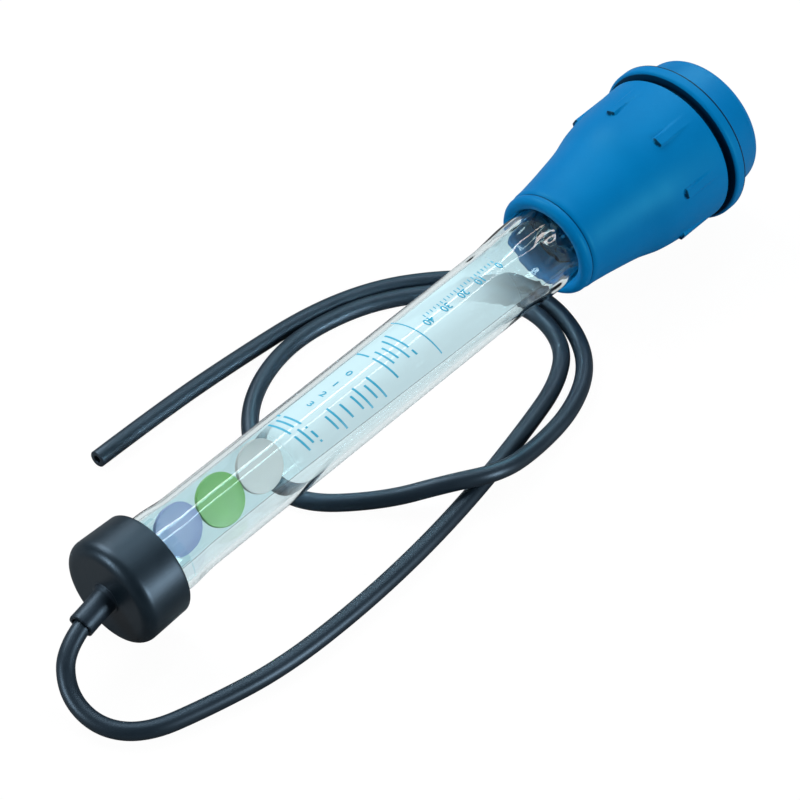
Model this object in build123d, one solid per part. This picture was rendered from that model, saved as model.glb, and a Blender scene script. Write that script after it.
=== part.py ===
from build123d import *
from math import asin, atan2, cos, degrees, hypot, pi, radians, sin, sqrt, tan
import os

os.makedirs("parts", exist_ok=True)

# Diesel exhaust fluid tester, in millimetres: a clear barrel with three coloured discs,
# a squeeze bulb at one end, a rubber nozzle cap at the other and a long suction hose.
# The tool is drawn along +X from the barrel's nozzle end and then laid on the floor Z = 0,
# where it leans on the cap's edge and on the bulb's flange.

# Barrel: a clear tube, a little wider at both ends
barrel_d = 32.0
barrel_wall = 2.0
barrel_length = 257.5
nozzle_flare_d = 34.0
nozzle_flare_length = 22.5
nozzle_taper_length = 14.0
bulb_flare_d = 34.6
bulb_flare_length = 27.0
bulb_taper_length = 20.0

# Nozzle cap: a rubber cup over the barrel's end
cap_d = 45.2
cap_rim_d = 44.0
cap_floor = 6.1
cap_grip_length = 15.1
cap_face_round = 5.0
cap_rim_round = 0.9
cap_boss_d = 12.8
cap_boss_height = 0.5
rubber_fit = 0.1

# Nozzle sleeve: a short rubber tube through the cap's floor, bent down and aside
sleeve_d = 10.4
sleeve_reach = 15.2
sleeve_droop_angle = 6.0
sleeve_side_angle = 6.6
sleeve_passage_d = 3.2
hose_grip_length = 9.5

# Hose
hose_d = 7.1
hose_bore_d = 3.2
hose_fit = 0.1

# Disc retainer: a perforated plate clamped between the cap's floor and the barrel
retainer_thickness = 1.2
retainer_spigot_length = 2.5
retainer_spigot_wall = 1.5
retainer_hole_d = 3.4
retainer_ring_d = 16.0
retainer_ring_holes = 6

# Upper disc stop: a perforated cup pushed into the barrel's bulb end, out of sight in the neck
stop_end_gap = 1.0
stop_thickness = 1.5
stop_skirt_length = 6.0
stop_wall = 1.3
stop_hole_d = 4.6
stop_ring_d = 17.0
stop_ring_holes = 6

# Coloured discs: they lie in a row on the barrel's wall, each turned aside by its own angle
disc_d = 21.8
disc_thickness = 2.0
disc_edge_round = 0.4
disc_gap = 0.3
disc_row_gap = 0.2
blue_disc_x = 35.6
blue_roll_angle = 60.0
green_roll_angle = 51.0
ivory_roll_angle = 56.0

# Squeeze bulb: neck, swelling body, groove and flange
neck_grip_length = 18.5
neck_d = 46.6
lip_length = 6.5
lip_crease_depth = 0.7
shoulder_d = 66.2
bulb_length = 86.9
bulb_mouth_d = 57.2
cavity_start_gap = 2.0
cavity_swell_length = 40.5
groove_width = 3.0
groove_depth = 2.3
flange_d = 71.0
flange_width = 6.0
flange_round = 1.5

# Grip lugs round the bulb's shoulder
lug_count = 8
lug_width = 4.6
lug_length = 25.0
lug_sink = 0.15
lug_depth = 3.2
lug_round = 0.8
lug_corner_round = 1.7
lug_first_angle = 26.5

# Bulb end cap: a hollow drum that plugs the bulb's mouth
drum_base_d = 63.0
drum_end_d = 59.5
drum_length = 16.7
drum_round = 5.0
drum_wall = 2.5
plug_length = 8.0

# Swell of the bulb from neck to shoulder, outside and in the cavity:
# pairs of length share and swell share
bulb_swell_share = [(0.12, 0.09), (0.26, 0.245), (0.42, 0.46), (0.555, 0.735), (0.675, 0.865), (0.825, 0.95)]
cavity_swell_share = [(0.24, 0.42), (0.52, 0.78)]

# Outline of the neck's rolled lip: shares of its length and of the rise from bore to neck
lip_nose_share = 0.48
lip_hole_share = 0.32
lip_crest_share = (0.5, 0.93)
lip_crease_share = 0.68


def turned(*edges):
    """Solid turned about the X axis from a closed outline in x and radius."""
    outline = [edge for piece in edges for edge in piece.edges()]
    return revolve(make_face(Wire(outline)), axis=Axis.X)


def disc_along_x(x, diameter, length):
    """Cylinder along +X that starts at x."""
    return Pos(x, 0, 0) * Rot(0, 90, 0) * Cylinder(
        diameter / 2, length, align=(Align.CENTER, Align.CENTER, Align.MIN)
    )


def ring_of_holes(x, length, hole_d, ring_d, count):
    """One hole on the axis and a ring of holes round it."""
    holes = disc_along_x(x, hole_d, length)
    for index in range(count):
        holes += Rot(360 * index / count, 0, 0) * Pos(0, 0, ring_d / 2) * disc_along_x(x, hole_d, length)
    return holes


# Barrel
bulb_flare_x = barrel_length - bulb_flare_length
bulb_taper_x = bulb_flare_x - bulb_taper_length
nozzle_taper_end_x = nozzle_flare_length + nozzle_taper_length


def barrel_line(inset):
    """Barrel's outline, moved in by the inset, from the nozzle end to the bulb end."""
    nozzle_r = nozzle_flare_d / 2 - inset
    middle_r = barrel_d / 2 - inset
    bulb_r = bulb_flare_d / 2 - inset
    return [
        Line((0, nozzle_r), (nozzle_flare_length, nozzle_r)),
        Spline((nozzle_flare_length, nozzle_r), (nozzle_taper_end_x, middle_r), tangents=((1, 0), (1, 0))),
        Line((nozzle_taper_end_x, middle_r), (bulb_taper_x, middle_r)),
        Spline((bulb_taper_x, middle_r), (bulb_flare_x, bulb_r), tangents=((1, 0), (1, 0))),
        Line((bulb_flare_x, bulb_r), (barrel_length, bulb_r)),
    ]


barrel = turned(
    *barrel_line(0),
    *barrel_line(barrel_wall),
    Line((0, nozzle_flare_d / 2 - barrel_wall), (0, nozzle_flare_d / 2)),
    Line((barrel_length, bulb_flare_d / 2 - barrel_wall), (barrel_length, bulb_flare_d / 2)),
)

# Disc retainer, between the cap's floor and the barrel's end
retainer_d = nozzle_flare_d - rubber_fit
spigot_r = nozzle_flare_d / 2 - barrel_wall - rubber_fit
disc_retainer = disc_along_x(-retainer_thickness, retainer_d, retainer_thickness)
disc_retainer += disc_along_x(0, spigot_r * 2, retainer_spigot_length)
disc_retainer -= disc_along_x(0, (spigot_r - retainer_spigot_wall) * 2, retainer_spigot_length)
disc_retainer -= ring_of_holes(
    -retainer_thickness, retainer_thickness, retainer_hole_d, retainer_ring_d, retainer_ring_holes
)

# Upper disc stop, in the wide end of the bore
stop_d = bulb_flare_d - 2 * barrel_wall - rubber_fit
stop_x = barrel_length - stop_end_gap - stop_skirt_length - stop_thickness
upper_disc_stop = disc_along_x(stop_x, stop_d, stop_thickness + stop_skirt_length)
upper_disc_stop -= disc_along_x(stop_x + stop_thickness, stop_d - 2 * stop_wall, stop_skirt_length)
upper_disc_stop -= ring_of_holes(stop_x, stop_thickness, stop_hole_d, stop_ring_d, stop_ring_holes)

# Nozzle cap
cap_bottom_x = -retainer_thickness
cap_face_x = cap_bottom_x - cap_floor
cap_r = cap_d / 2
cap_rim_r = cap_rim_d / 2
cap_bore_r = nozzle_flare_d / 2 + rubber_fit
cap_body = turned(
    Line((cap_bottom_x, 0), (cap_bottom_x, cap_bore_r)),
    Line((cap_bottom_x, cap_bore_r), (cap_grip_length, cap_bore_r)),
    Line((cap_grip_length, cap_bore_r), (cap_grip_length, cap_rim_r - cap_rim_round)),
    RadiusArc(
        (cap_grip_length, cap_rim_r - cap_rim_round), (cap_grip_length - cap_rim_round, cap_rim_r), -cap_rim_round
    ),
    Line((cap_grip_length - cap_rim_round, cap_rim_r), (cap_face_x + cap_face_round, cap_r)),
    RadiusArc((cap_face_x + cap_face_round, cap_r), (cap_face_x, cap_r - cap_face_round), -cap_face_round),
    Polyline(
        (cap_face_x, cap_r - cap_face_round),
        (cap_face_x, cap_boss_d / 2),
        (cap_face_x - cap_boss_height, cap_boss_d / 2),
        (cap_face_x - cap_boss_height, 0),
        (cap_bottom_x, 0),
    ),
)

# Nozzle sleeve, drawn along -X from the middle of the cap's face and then tilted
sleeve_place = Pos(cap_face_x, 0, 0) * Rot(0, -sleeve_droop_angle, sleeve_side_angle)
sleeve_root = 2 * cap_floor
sleeve_blank = sleeve_place * disc_along_x(-sleeve_reach, sleeve_d, sleeve_reach + sleeve_root)
sleeve_bore = sleeve_place * disc_along_x(-sleeve_reach, hose_d + 2 * hose_fit, hose_grip_length + hose_fit)
sleeve_passage = sleeve_place * disc_along_x(-sleeve_reach, sleeve_passage_d, sleeve_reach + sleeve_root)
sleeve_hole = sleeve_place * disc_along_x(-sleeve_reach, sleeve_d + rubber_fit, sleeve_reach + sleeve_root)
nozzle_sleeve = sleeve_blank - sleeve_bore - sleeve_passage
nozzle_sleeve -= disc_along_x(cap_bottom_x, cap_d, sleeve_root)
nozzle_cap = cap_body - sleeve_hole

# Squeeze bulb
lip_x = barrel_length - neck_grip_length
neck_bore_r = bulb_flare_d / 2 + rubber_fit
neck_r = neck_d / 2
neck_rise = neck_r - neck_bore_r
shoulder_r = shoulder_d / 2
body_x = lip_x + lip_length
flange_x = lip_x + bulb_length - flange_width
shoulder_x = flange_x - groove_width
bulb_back_x = flange_x + flange_width
flange_r = flange_d / 2
groove_r = shoulder_r - groove_depth
mouth_r = bulb_mouth_d / 2
cavity_x = barrel_length + cavity_start_gap
cavity_end_x = cavity_x + cavity_swell_length

lip_hole = (lip_x + lip_hole_share * lip_length, neck_bore_r)
lip_nose = (lip_x, neck_bore_r + lip_nose_share * neck_rise)
lip_crest = (lip_x + lip_crest_share[0] * lip_length, neck_bore_r + lip_crest_share[1] * neck_rise)
lip_crease = (lip_x + lip_crease_share * lip_length, neck_r - lip_crease_depth)
swell_points = [
    (body_x + along * (shoulder_x - body_x), neck_r + out * (shoulder_r - neck_r))
    for along, out in bulb_swell_share
]
cavity_points = [
    (cavity_x + along * cavity_swell_length, neck_bore_r + out * (mouth_r - neck_bore_r))
    for along, out in cavity_swell_share
]
bulb_body = turned(
    ThreePointArc(lip_hole, lip_nose, lip_crest),
    Line(lip_crest, lip_crease),
    Line(lip_crease, (body_x, neck_r)),
    Spline((body_x, neck_r), *swell_points, (shoulder_x, shoulder_r), tangents=((1, 0), (1, 0))),
    Polyline(
        (shoulder_x, shoulder_r),
        (shoulder_x, groove_r),
        (flange_x, groove_r),
        (flange_x, flange_r - flange_round),
    ),
    RadiusArc((flange_x, flange_r - flange_round), (flange_x + flange_round, flange_r), flange_round),
    Line((flange_x + flange_round, flange_r), (bulb_back_x - flange_round, flange_r)),
    RadiusArc((bulb_back_x - flange_round, flange_r), (bulb_back_x, flange_r - flange_round), flange_round),
    Polyline((bulb_back_x, flange_r - flange_round), (bulb_back_x, mouth_r), (cavity_end_x, mouth_r)),
    Spline((cavity_x, neck_bore_r), *cavity_points, (cavity_end_x, mouth_r), tangents=((1, 1), (1, 0))),
    Line((cavity_x, neck_bore_r), lip_hole),
)

# Grip lugs: flat ribs that stand proud at the neck side and sink into the shoulder
lug_x = shoulder_x - lug_length
lug_plan = Pos(lug_x + lug_length, 0) * Rectangle(2 * lug_length, lug_width)
lug_plan = fillet(lug_plan.vertices().group_by(Axis.X)[0], lug_corner_round)
lug_plan = lug_plan & Pos(lug_x, 0) * Rectangle(
    lug_length - lug_corner_round, lug_width, align=(Align.MIN, Align.CENTER)
)
lug_top_r = shoulder_r - lug_sink
lug = extrude(Pos(0, 0, lug_top_r - lug_depth) * lug_plan, lug_depth)
lug = fillet(lug.faces().sort_by(Axis.Z)[-1].edges(), lug_round)
squeeze_bulb = bulb_body
for index in range(lug_count):
    squeeze_bulb += Rot(lug_first_angle + 360 * index / lug_count, 0, 0) * lug

# Bulb end cap
drum_r = drum_base_d / 2
drum_end_r = drum_end_d / 2
drum_end_x = bulb_back_x + drum_length
plug_r = mouth_r - rubber_fit
drum_bore_r = plug_r - drum_wall
bulb_end_cap = turned(
    Polyline(
        (drum_end_x - drum_wall, 0),
        (drum_end_x - drum_wall, drum_bore_r),
        (bulb_back_x - plug_length, drum_bore_r),
        (bulb_back_x - plug_length, plug_r),
        (bulb_back_x, plug_r),
        (bulb_back_x, drum_r),
        (drum_end_x - drum_round, drum_end_r),
    ),
    RadiusArc((drum_end_x - drum_round, drum_end_r), (drum_end_x, drum_end_r - drum_round), drum_round),
    Polyline((drum_end_x, drum_end_r - drum_round), (drum_end_x, 0), (drum_end_x - drum_wall, 0)),
)

# Coloured discs: their lower face clears the bore by the gap
bore_r = barrel_d / 2 - barrel_wall
disc_floor = sqrt((bore_r - disc_gap) ** 2 - (disc_d / 2) ** 2)
disc_step = disc_d + disc_row_gap


def coloured_disc(place, roll_angle):
    """Disc in its place of the row, turned about the barrel's axis."""
    blank = Cylinder(disc_d / 2, disc_thickness, align=(Align.CENTER, Align.CENTER, Align.MIN))
    blank = fillet(blank.edges().filter_by(GeomType.CIRCLE), disc_edge_round)
    return Rot(roll_angle, 0, 0) * Pos(blue_disc_x + place * disc_step, 0, -disc_floor) * blank


blue_disc = coloured_disc(0, blue_roll_angle)
green_disc = coloured_disc(1, green_roll_angle)
ivory_disc = coloured_disc(2, ivory_roll_angle)

# Lay the tool down: the floor touches the cap's rounded edge and the flange's rounded edge
cap_round_x = cap_face_x + cap_face_round
flange_round_x = flange_x + flange_round
contact_run = flange_round_x - cap_round_x
contact_rise = (flange_r - flange_round) - (cap_r - cap_face_round)
contact_angle = atan2(contact_rise, contact_run)
round_angle = asin((cap_face_round - flange_round) / hypot(contact_run, contact_rise))
lean = contact_angle - round_angle
axis_height = (cap_r - cap_face_round) * cos(lean) - cap_round_x * sin(lean) + cap_face_round

pieces = {
    "barrel": barrel,
    "nozzle_cap": nozzle_cap,
    "nozzle_sleeve": nozzle_sleeve,
    "disc_retainer": disc_retainer,
    "upper_disc_stop": upper_disc_stop,
    "squeeze_bulb": squeeze_bulb,
    "bulb_end_cap": bulb_end_cap,
    "blue_disc": blue_disc,
    "green_disc": green_disc,
    "ivory_disc": ivory_disc,
}
leaning = Pos(0, 0, axis_height) * Rot(0, -degrees(lean), 0)
tool_box = Compound([leaning * piece for piece in pieces.values()]).bounding_box()
middle_x = (tool_box.min.X + tool_box.max.X) / 2
laid = Pos(-middle_x, 0, 0) * leaning
print("lean", round(degrees(lean), 4), "axis height", round(axis_height, 4), "middle", round(middle_x, 4))
for name, piece in pieces.items():
    export_step(laid * piece, "parts/" + name + ".step")

# Hose: it leaves the nozzle sleeve, lies on the floor in two turns round the tool and crosses
# over itself once. The route's points are the corners of straight runs that bends join.
hose_r = hose_d / 2
hose_route = [
    (-172.96, -0.66, 21.57), (-191.05, -2.77, 18.94), (-202.2, -14.0, 9.6), (-203.0, -31.0, 4.4),
    (-192.6, -45.3, 3.55), (-168.7, -52.7, 3.55), (-137.3, -59.6, 3.55), (-97.4, -60.4, 3.55),
    (-57.5, -57.7, 3.55), (-18.6, -52.0, 3.55), (19.6, -43.8, 3.55), (46.2, -36.7, 3.55),
    (65.1, -24.0, 3.55), (73.1, 0.0, 3.55), (63.4, 26.0, 3.55), (43.3, 43.2, 3.55),
    (22.4, 53.7, 3.55), (-5.5, 58.4, 3.55), (-31.3, 53.1, 3.55), (-52.7, 40.0, 3.55),
    (-69.6, 17.0, 3.55), (-72.1, -6.6, 3.55), (-48.7, -29.4, 3.55), (-30.6, -46.3, 11.1),
    (-12.0, -57.6, 11.1), (12.2, -54.3, 3.55), (37.1, -51.3, 3.55), (59.5, -41.0, 3.55),
    (73.7, -23.8, 3.55), (80.9, -0.9, 3.55), (76.4, 22.0, 3.55), (60.0, 40.1, 3.55),
    (38.2, 55.3, 3.55), (9.3, 64.4, 3.55), (-27.5, 67.4, 3.55), (-67.7, 69.1, 3.55),
    (-107.3, 68.3, 3.55),
]
bend_share = 0.45
corners = [Vector(point) for point in hose_route]
runs = [after - before for before, after in zip(corners, corners[1:])]
bend_radii = [
    bend_share * min(before.length, after.length) / tan(radians(before.get_angle(after)) / 2)
    for before, after in zip(runs, runs[1:])
]
hose_path = FilletPolyline(*hose_route, radius=bend_radii)
hose_section = Plane(hose_path @ 0, z_dir=hose_path % 0) * (Circle(hose_r) - Circle(hose_bore_d / 2))
hose = sweep(hose_section, path=hose_path)
export_step(hose, "parts/hose.step")

print("runs", [round(run.length, 1) for run in runs])
print("radii", [round(radius, 1) for radius in bend_radii])
section_area = pi * (hose_r**2 - (hose_bore_d / 2) ** 2)
print("hose length", round(hose_path.length, 2), "volume", round(hose.volume, 1))
print("section times length", round(section_area * hose_path.length, 1), "lowest", round(hose.bounding_box().min.Z, 4))
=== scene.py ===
from math import atan2, ceil, cos, degrees, hypot, pi, radians, sin, sqrt

import bmesh
import bpy
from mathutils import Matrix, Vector, noise


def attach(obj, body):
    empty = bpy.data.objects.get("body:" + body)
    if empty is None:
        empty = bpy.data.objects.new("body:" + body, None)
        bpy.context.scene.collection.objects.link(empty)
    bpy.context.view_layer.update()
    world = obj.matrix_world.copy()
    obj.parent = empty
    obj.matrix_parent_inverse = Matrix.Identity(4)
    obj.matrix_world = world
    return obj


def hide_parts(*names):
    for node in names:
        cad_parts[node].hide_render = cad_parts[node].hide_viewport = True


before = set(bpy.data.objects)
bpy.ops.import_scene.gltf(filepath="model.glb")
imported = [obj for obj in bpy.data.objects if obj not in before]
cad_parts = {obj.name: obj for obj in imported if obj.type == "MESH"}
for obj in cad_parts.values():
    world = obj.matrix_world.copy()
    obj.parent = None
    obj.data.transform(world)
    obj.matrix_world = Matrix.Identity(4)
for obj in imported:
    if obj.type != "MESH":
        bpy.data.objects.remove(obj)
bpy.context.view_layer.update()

# Camera: a long lens from the nozzle side, high up, as the photograph was taken.
# It looks 44 degrees down and 42 degrees round from the tool's length.
camera_place = (-0.738084, -0.666334, 0.973062)
camera_down_angle = radians(44.278)
camera_round_angle = radians(42.342)
camera_data = bpy.data.cameras.new("camera")
camera_data.lens = 157.5
camera_data.sensor_width = 36.0
camera_data.clip_start = 0.05
camera_data.clip_end = 20.0
camera = bpy.data.objects.new("camera", camera_data)
camera.location = camera_place
camera.rotation_euler = (pi / 2 - camera_down_angle, 0, camera_round_angle - pi / 2)
bpy.context.scene.collection.objects.link(camera)
bpy.context.scene.camera = camera

# Suction hose: extruded black rubber, about a metre of 7 mm tube with a 3 mm bore.
# It is pushed into the nozzle sleeve, lies on the floor in two loose turns round the
# tool, crosses over itself once and ends cut square and open.
MM = 0.001
hose_r = 7.1 / 2
hose_bore_r = 3.2 / 2
hose_edge_round = 0.35
hose_sides = 40
hose_route_steps = 14
sharp_angle = radians(32)
quarter_turn = (0, pi / 6, pi / 3, pi / 2)
hose_route = [
    (-172.96, -0.66, 21.57), (-191.05, -2.77, 18.94), (-202.2, -14.0, 9.6), (-203.0, -31.0, 4.4),
    (-192.6, -45.3, 3.55), (-168.7, -52.7, 3.55), (-137.3, -59.6, 3.55), (-97.4, -60.4, 3.55),
    (-57.5, -57.7, 3.55), (-18.6, -52.0, 3.55), (19.6, -43.8, 3.55), (46.2, -36.7, 3.55),
    (65.1, -24.0, 3.55), (73.1, 0.0, 3.55), (63.4, 26.0, 3.55), (43.3, 43.2, 3.55),
    (22.4, 53.7, 3.55), (-5.5, 58.4, 3.55), (-31.3, 53.1, 3.55), (-52.7, 40.0, 3.55),
    (-69.6, 17.0, 3.55), (-72.1, -6.6, 3.55), (-48.7, -29.4, 3.55), (-30.6, -46.3, 11.1),
    (-12.0, -57.6, 11.1), (12.2, -54.3, 3.55), (37.1, -51.3, 3.55), (59.5, -41.0, 3.55),
    (73.7, -23.8, 3.55), (80.9, -0.9, 3.55), (76.4, 22.0, 3.55), (60.0, 40.1, 3.55),
    (38.2, 55.3, 3.55), (9.3, 64.4, 3.55), (-27.5, 67.4, 3.55), (-67.7, 69.1, 3.55),
    (-107.3, 68.3, 3.55),
]


def show(name, mesh, material, body):
    """Object from a finished mesh, on its CAD body and in its material slot."""
    piece = bpy.data.objects.new(name, mesh)
    bpy.context.scene.collection.objects.link(piece)
    piece.data.materials.clear()
    piece.data.materials.append(material)
    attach(piece, body)
    return piece


def mesh_from_rings(name, rings, closed_round=True):
    """Smooth mesh of quads between rings of points; a ring of one point is a pole."""
    form = bmesh.new()
    made = [[form.verts.new(point) for point in ring] for ring in rings]
    pairs = list(zip(made, made[1:]))
    if closed_round:
        pairs.append((made[-1], made[0]))
    for near, far in pairs:
        count = max(len(near), len(far))
        if count == 1:
            continue
        for index in range(count):
            after = (index + 1) % count
            near_pair = [near[index % len(near)], near[after % len(near)]]
            far_pair = [far[after % len(far)], far[index % len(far)]]
            form.faces.new(list(dict.fromkeys(near_pair + far_pair)))
    bmesh.ops.recalc_face_normals(form, faces=form.faces)
    mesh = bpy.data.meshes.new(name)
    form.to_mesh(mesh)
    form.free()
    mesh.shade_smooth()
    mesh.set_sharp_from_angle(angle=sharp_angle)
    return mesh


def set_sockets(tree, node, values):
    """Feed a node's inputs, by name or number, with sockets or plain values, and give its outputs."""
    for name, value in dict(values).items():
        if isinstance(value, bpy.types.NodeSocket):
            tree.links.new(value, node.inputs[name])
        else:
            node.inputs[name].default_value = value
    return node.outputs


def add_node(tree, kind, values=(), **settings):
    """New node with its settings made and its inputs fed; gives its outputs."""
    node = tree.nodes.new(kind)
    for name, value in settings.items():
        setattr(node, name, value)
    return set_sockets(tree, node, values)


def calc(tree, operation, *values):
    """Output of a math node that is fed with sockets or plain numbers."""
    return add_node(tree, "ShaderNodeMath", enumerate(values), operation=operation)[0]


def smooth_step(tree, value, low, high):
    """Output that rises smoothly from 0 to 1 while a value goes from low to high."""
    limits = {"Value": value, "From Min": low, "From Max": high}
    return add_node(tree, "ShaderNodeMapRange", limits, interpolation_type="SMOOTHSTEP")["Result"]


def mix_colours(tree, share, *colours):
    """Output between two colours, each of them a socket or three plain values."""
    sockets = {0: share}
    for name, colour in zip((6, 7), colours):
        sockets[name] = colour if isinstance(colour, bpy.types.NodeSocket) else (*colour, 1)
    return add_node(tree, "ShaderNodeMix", sockets, data_type="RGBA")[2]


def drift(tree, mask, low, high):
    """Output that drifts from low to high with a mask."""
    return add_node(tree, "ShaderNodeMapRange", {"Value": mask, "To Min": low, "To Max": high})["Result"]


def mix_shaders(tree, share, first, second):
    """Output between two shaders."""
    return add_node(tree, "ShaderNodeMixShader", {0: share, 1: first, 2: second})[0]


def new_material(name, roughness):
    """Material, its node tree and its principled shader."""
    material = bpy.data.materials.new(name)
    material.use_nodes = True
    shader = material.node_tree.nodes["Principled BSDF"]
    shader.inputs["Roughness"].default_value = roughness
    return material, material.node_tree, shader


def shader_group(name, inputs, outputs):
    """Shader node group with named numbers in and out; gives it and what comes in."""
    group = bpy.data.node_groups.new(name, "ShaderNodeTree")
    for socket_name, value in inputs:
        socket = group.interface.new_socket(socket_name, in_out="INPUT", socket_type="NodeSocketFloat")
        socket.default_value = value
    for socket_name in outputs:
        group.interface.new_socket(socket_name, in_out="OUTPUT", socket_type="NodeSocketFloat")
    return group, add_node(group, "NodeGroupInput")


def rubber_bloom_group():
    """Cloudy bloom and fine grain of moulded rubber: one mask and one height."""
    group, given = shader_group("rubber_bloom", (
        ("Cloud Scale", 60.0), ("Grain Scale", 1800.0), ("Grain Share", 0.3),
    ), ("Mask", "Height"))
    place = add_node(group, "ShaderNodeTexCoord")["Object"]
    clouds = add_node(group, "ShaderNodeTexNoise", {
        "Vector": place, "Scale": given["Cloud Scale"], "Detail": 5.0, "Roughness": 0.6})["Fac"]
    grain = add_node(group, "ShaderNodeTexNoise", {
        "Vector": place, "Scale": given["Grain Scale"], "Detail": 2.0})["Fac"]
    spread = add_node(group, "ShaderNodeMapRange", {
        "Value": clouds, "From Min": 0.3, "From Max": 0.7})["Result"]
    mask = add_node(group, "ShaderNodeMix", {0: given["Grain Share"], 2: spread, 3: grain})[0]
    add_node(group, "NodeGroupOutput", {"Mask": mask, "Height": grain})
    return group


rubber_bloom = rubber_bloom_group()


def rubber(name, low, high, rough_low, rough_high, clouds=60.0, grain=1800.0, bump=0.02, shine=0.5,
           shine_tint=(1, 1, 1), painted_shade_colour=None):
    """Rubber or moulded plastic whose colour and gloss drift between two values; a shade colour,
    where given, paints shade into the grooves, creases and gaps that a piece's attribute marks."""
    material, tree, shader = new_material(name, rough_low)
    bloom = add_node(tree, "ShaderNodeGroup", {
        "Cloud Scale": clouds, "Grain Scale": grain}, node_tree=rubber_bloom)
    colour = mix_colours(tree, bloom["Mask"], low, high)
    # Painted shade: a per-point attribute darkens the colour towards the given shade colour.
    if painted_shade_colour:
        painted_shade = add_node(tree, "ShaderNodeAttribute", attribute_name="painted_shade")["Fac"]
        colour = mix_colours(tree, painted_shade, colour, painted_shade_colour)
    gloss = drift(tree, bloom["Mask"], rough_low, rough_high)
    relief = add_node(tree, "ShaderNodeBump", {
        "Height": bloom["Height"], "Strength": 1.0, "Distance": bump * MM})["Normal"]
    set_sockets(tree, shader, {
        "Base Color": colour, "Roughness": gloss, "Normal": relief, "Specular IOR Level": shine,
        "Specular Tint": (*shine_tint, 1)})
    return material


def route_points(route, detail):
    """Points in metres along the smooth line that has the route's corners as its poles."""
    curve = bpy.data.curves.new("hose_route", "CURVE")
    curve.dimensions = "3D"
    spline = curve.splines.new("NURBS")
    spline.points.add(len(route) - 1)
    for pole, corner in zip(spline.points, route):
        pole.co = (*(value * MM for value in corner), 1)
    spline.order_u = 3
    spline.use_endpoint_u = True
    spline.resolution_u = detail
    holder = bpy.data.objects.new("hose_route", curve)
    bpy.context.scene.collection.objects.link(holder)
    line = bpy.data.meshes.new_from_object(holder)
    points = [vertex.co.copy() for vertex in line.vertices]
    bpy.data.objects.remove(holder)
    bpy.data.meshes.remove(line)
    return points


def tube_frames(points):
    """For each point of a line: the point, the direction ahead and two directions across it."""
    ahead = [(after - before).normalized() for before, after in zip(points, points[1:])]
    ahead = [ahead[0]] + [(a + b).normalized() for a, b in zip(ahead, ahead[1:])] + [ahead[-1]]
    across = ahead[0].cross(Vector((0, 0, 1))).normalized()
    frames = []
    for point, direction in zip(points, ahead):
        across = (across - direction * across.dot(direction)).normalized()
        frames.append((point, direction, across, direction.cross(across)))
    return frames


def ring_at(place, radius, sides, along=0.0):
    """Ring of points round one place of a line, moved along it."""
    point, direction, across, up = place
    centre = point + direction * along
    return [
        centre + (across * cos(2 * pi * index / sides) + up * sin(2 * pi * index / sides)) * radius
        for index in range(sides)
    ]


def hose_mesh():
    """Open tube along the route, with a rounded edge at its cut ends and its whole bore."""
    frames = tube_frames(route_points(hose_route, hose_route_steps))
    start, finish = frames[0], frames[-1]
    r, bore, edge = hose_r * MM, hose_bore_r * MM, hose_edge_round * MM
    rings = []
    for turn in quarter_turn:
        rings.append(ring_at(start, r - edge * (1 - sin(turn)), hose_sides, edge * (1 - cos(turn))))
    rings += [ring_at(place, r, hose_sides) for place in frames[2:-2]]
    for turn in quarter_turn:
        rings.append(ring_at(finish, r - edge * (1 - cos(turn)), hose_sides, edge * (sin(turn) - 1)))
    rings += [ring_at(finish, bore + edge / 2, hose_sides), ring_at(finish, bore, hose_sides, -edge / 2)]
    rings += [ring_at(place, bore, hose_sides) for place in frames[-3:1:-1]]
    rings.append(ring_at(start, bore, hose_sides))
    return mesh_from_rings("suction_hose", rings), frames


cool_shine = (0.5, 0.75, 1.0)
hose_rubber = rubber(
    "hose_rubber", (0.004, 0.009, 0.015), (0.01, 0.018, 0.027), 0.36, 0.46, clouds=45.0, shine=0.6,
    shine_tint=cool_shine)
tube, hose_line = hose_mesh()
suction_hose = show("suction_hose", tube, hose_rubber, "tester")
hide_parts("hose")

# Nozzle cap: a moulded rubber cup pushed over the barrel's end, with a rounded face
# and a low boss where the nozzle sleeve comes through.
turned_sides = 192
lean = radians(2.2816)
tool_start_x = -160.0637
tool_axis_z = 22.6776
cap_r = 45.2 / 2
cap_rim_r = 44.0 / 2
cap_face_x = -7.3
cap_inner_x = -1.2
cap_grip_x = 15.1
cap_bore_r = 17.1
cap_face_round = 5.0
cap_rim_round = 0.9
cap_boss_r = 12.8 / 2
cap_boss_height = 0.5
cap_boss_round = 0.2
cap_boss_fillet = 0.4
cap_mouth_round = 0.3
cap_floor_hold = 0.4
cap_face_hold = 1.0
cap_side_shares = (0.05, 0.25, 0.5, 0.75, 0.95)


def lay(x, y, z):
    """Place on the floor, in metres, of a point drawn in millimetres along the tool's axis."""
    return Vector(
        (x * cos(lean) - z * sin(lean) + tool_start_x, y, x * sin(lean) + z * cos(lean) + tool_axis_z)
    ) * MM


def turned_ring(x, r, sides):
    """Ring round the tool's axis, counted from the top towards the camera's side."""
    if r == 0:
        return [lay(x, 0, 0)]
    return [
        lay(x, -r * sin(2 * pi * index / sides), r * cos(2 * pi * index / sides)) for index in range(sides)
    ]


def turned(name, outline, sides=turned_sides):
    """Mesh turned round the tool's axis from an outline of x and radius."""
    return mesh_from_rings(name, [turned_ring(x, r, sides) for x, r in outline])


def bend(x, r, radius, start, end, steps):
    """Arc of outline points round a centre; angles run from +x towards the outside, in degrees."""
    return [
        (x + radius * cos(radians(start + (end - start) * step / steps)),
         r + radius * sin(radians(start + (end - start) * step / steps)))
        for step in range(steps + 1)
    ]


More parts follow.
